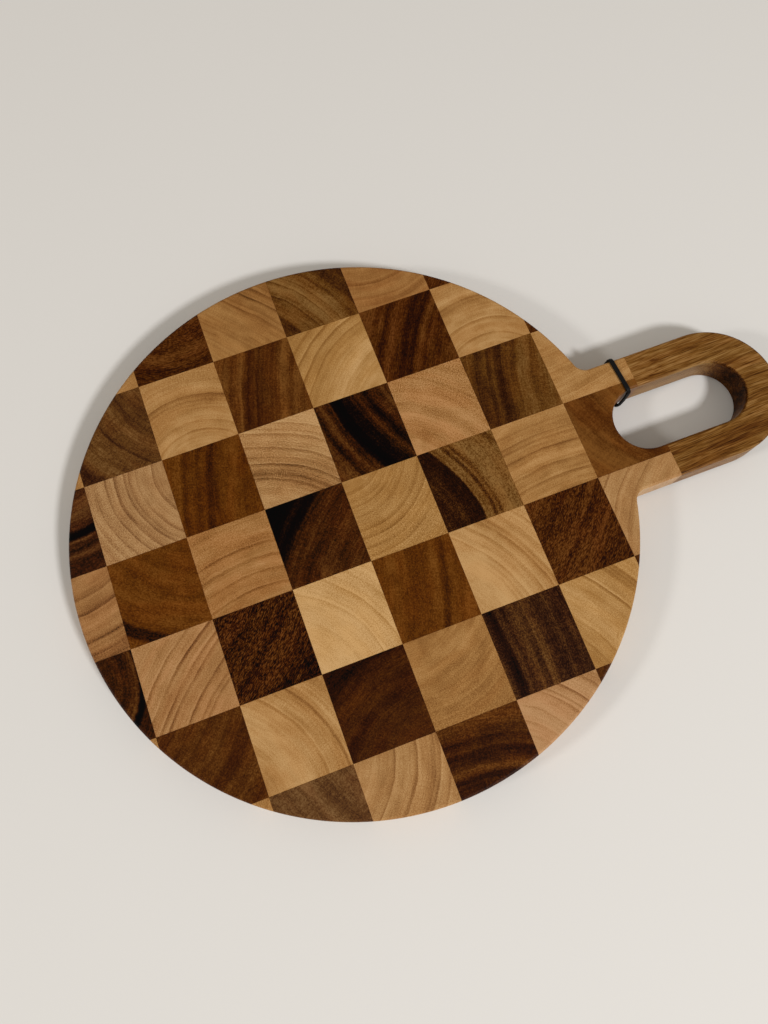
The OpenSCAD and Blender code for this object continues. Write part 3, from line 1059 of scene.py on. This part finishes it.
class BOARD_OT_tie(bpy.types.Operator):
    """Wind the elastic tie round its arm"""

    bl_idname = "board.tie"
    bl_label = "Elastic Tie"

    def execute(self, context):
        settings = context.scene.board_tie
        made = bmesh.new()
        wind_loop(made, settings)
        settle_loop(made, settings)
        low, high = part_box("elastic_tie")
        lean = Matrix.Rotation(settings.turn, 4, "Z") @ Matrix.Rotation(settings.lean, 4, "Y")
        place = Matrix.Translation((low + high) / 2) @ lean @ Matrix.Rotation(math.pi / 2, 4, "Z")
        bmesh.ops.transform(made, verts=made.verts, matrix=place)
        bmesh.ops.recalc_face_normals(made, faces=made.faces)
        if not all(edge.is_manifold for edge in made.edges):
            raise RuntimeError("The tie's loop isn't closed")
        mesh = mesh_of("tie_cord", made)
        mesh.shade_smooth()
        mesh.materials.append(elastic_material(settings))
        tie = add_object("tie_cord", mesh)
        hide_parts("elastic_tie")
        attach(tie, BODY)
        return {"FINISHED"}


def around_board(azimuth, elevation, distance):
    """A place that far from the board's middle, in degrees on the board and above it."""
    turn, rise = math.radians(azimuth), math.radians(elevation)
    flat = distance * math.cos(rise)
    return Vector((flat * math.cos(turn), flat * math.sin(turn), distance * math.sin(rise)))


def hang_lamp(settings, name, azimuth, elevation, share, colour):
    """A round lamp, aimed at the board, that gives this share of the light on the floor."""
    position = around_board(azimuth, elevation, settings.light_distance)
    light = bpy.data.lights.new(name, "AREA")
    light.shape = "DISK"
    light.size = settings.light_size
    light.energy = share * (math.pi * position.length) ** 2 / math.sin(math.radians(elevation))
    light.color = colour
    holder = add_object(name, light)
    holder.location = position
    holder.rotation_euler = (-position).to_track_quat("-Z", "Y").to_euler()


def lay_floor(settings):
    """The floor, which leans a little, because the board lies on the tie and on its far rim."""
    tie_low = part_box("elastic_tie")[0]
    rim_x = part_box("light_block_d1")[0].x
    lean = math.atan2(-tie_low.z, tie_low.x - rim_x)
    made = bmesh.new()
    bmesh.ops.create_grid(made, x_segments=1, y_segments=1, size=settings.floor_reach)
    bmesh.ops.rotate(made, verts=made.verts, cent=(0, 0, 0), matrix=Matrix.Rotation(lean, 3, "Y"))
    bmesh.ops.translate(made, verts=made.verts, vec=(0, 0, rim_x * math.tan(lean)))
    mesh = mesh_of("floor", made)
    material, recipe = new_material("floor_paint")
    values = {"Roughness": FLOOR_ROUGHNESS, "Specular IOR Level": FLOOR_SHINE}
    values["Base Color"] = linear(settings.floor)
    surface = recipe.add("ShaderNodeBsdfPrincipled", values)
    recipe.add("ShaderNodeOutputMaterial", {"Surface": surface.outputs[0]})
    mesh.materials.append(material)
    add_object("floor", mesh)


def surround(settings):
    """Light from all round. The camera sees the floor's colour there instead."""
    world = bpy.data.worlds.new("studio")
    bpy.context.scene.world = world
    world.use_nodes = True
    recipe = Recipe(world.node_tree)
    given = {"Color": AMBIENT_COLOUR, "Strength": AMBIENT_STRENGTH}
    light = recipe.add("ShaderNodeBackground", given)
    seen = recipe.add("ShaderNodeBackground", {"Color": linear(settings.floor), "Strength": 1.0})
    path = recipe.add("ShaderNodeLightPath").outputs["Is Camera Ray"]
    both = recipe.add("ShaderNodeMixShader", {0: path, 1: light.outputs[0], 2: seen.outputs[0]})
    recipe.add("ShaderNodeOutputWorld", {"Surface": both.outputs[0]})


def set_camera():
    """A camera in hand, above the board's near side."""
    lens = bpy.data.cameras.new("camera")
    lens.lens = CAMERA_LENS
    lens.clip_start = NEAREST_SEEN
    turn = Matrix((CAMERA_RIGHT, CAMERA_UP, CAMERA_RIGHT.cross(CAMERA_UP))).transposed()
    camera = add_object("camera", lens)
    camera.matrix_world = Matrix.Translation(CAMERA_PLACE) @ turn.to_4x4()
    bpy.context.scene.camera = camera
    bpy.context.scene.view_settings.view_transform = "Standard"


class BOARD_OT_stage(bpy.types.Operator):
    """Lay the floor, hang the lights and set up the camera"""

    bl_idname = "board.stage"
    bl_label = "Stage"

    def execute(self, context):
        settings = context.scene.board_stage
        lay_floor(settings)
        surround(settings)
        for lamp in LAMPS:
            hang_lamp(settings, *lamp)
        set_camera()
        return {"FINISHED"}


class BOARD_PT_panel(bpy.types.Panel):
    """Lists what the board is made of"""

    bl_idname = "BOARD_PT_panel"
    bl_label = "Cutting Board"
    bl_space_type = "VIEW_3D"
    bl_region_type = "UI"
    bl_category = "Board"

    def draw(self, context):
        for settings in (context.scene.board_woods, context.scene.board_tie, context.scene.board_stage):
            for name in settings.__annotations__:
                self.layout.prop(settings, name)
        for operator in OPERATORS:
            self.layout.operator(operator.bl_idname)


OPERATORS = (BOARD_OT_stage, BOARD_OT_blocks, BOARD_OT_handle, BOARD_OT_tie)
CLASSES = (BoardWoodSettings, BoardTieSettings, BoardStageSettings, *OPERATORS, BOARD_PT_panel)


def register():
    for cls in CLASSES:
        bpy.utils.register_class(cls)
    bpy.types.Scene.board_woods = PointerProperty(type=BoardWoodSettings)
    bpy.types.Scene.board_tie = PointerProperty(type=BoardTieSettings)
    bpy.types.Scene.board_stage = PointerProperty(type=BoardStageSettings)


def unregister():
    del bpy.types.Scene.board_stage
    del bpy.types.Scene.board_tie
    del bpy.types.Scene.board_woods
    for cls in reversed(CLASSES):
        bpy.utils.unregister_class(cls)


def main():
    register()
    bpy.ops.board.stage()
    bpy.ops.board.blocks()
    bpy.ops.board.handle()
    bpy.ops.board.tie()


if __name__ == "__main__":
    main()
